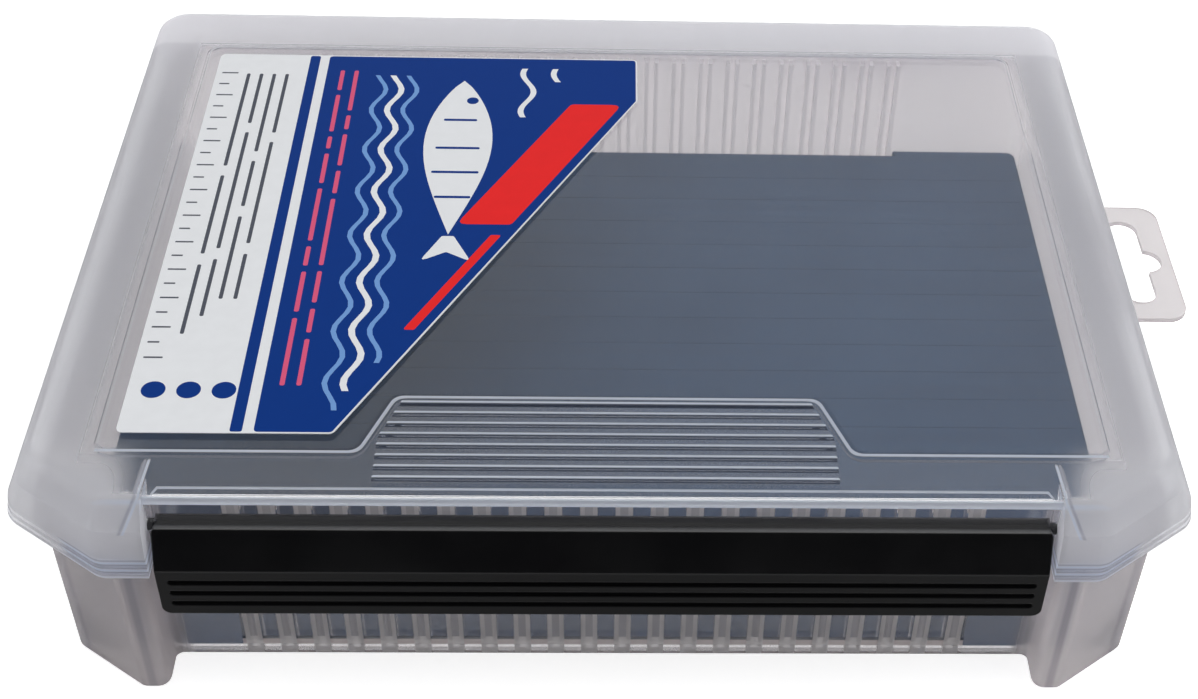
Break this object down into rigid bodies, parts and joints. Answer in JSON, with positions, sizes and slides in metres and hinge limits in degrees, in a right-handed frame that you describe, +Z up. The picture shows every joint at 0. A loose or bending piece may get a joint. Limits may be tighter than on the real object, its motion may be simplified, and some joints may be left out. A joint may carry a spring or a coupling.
{
  "type": "slit foam tackle box",
  "caption": "Flat frosted case with a hinged lid, one wide front latch, a hang tab and a slit foam mat that holds hooks and small lures.",
  "frame": {"origin": "on the table under the case, midway between its sides and midway between the lid's front lip and back lip", "axes": "+X to the right seen from the latch side, +Y from the latch to the hinge, +Z up"},
  "size_m": [0.2691, 0.1903, 0.06],
  "materials": {
    "tray_plastic": "frosted translucent polypropylene",
    "lid_plastic": "frosted translucent polypropylene",
    "latch_plastic": "black satin moulding",
    "foam": "fine closed-cell polyethylene foam",
    "label_print": "glossy printed film"
  },
  "bodies": {
    "tray": {"tray": "tray_plastic", "foam_mat": "foam"},
    "lid": {"lid": "lid_plastic", "label_film": "label_print"},
    "latch": {"latch": "latch_plastic"}
  },
  "joints": [
    {"name": "lid_hinge", "type": "hinge", "parent": "tray", "child": "lid", "pos_m": [0, 0.0929, 0.0445], "axis": [-1, 0, 0], "range_deg": [0, 110]},
    {"name": "latch_pivot", "type": "hinge", "parent": "lid", "child": "latch", "pos_m": [0, -0.0882, 0.0496], "axis": [-1, 0, 0], "range_deg": [0, 120]}
  ]
}
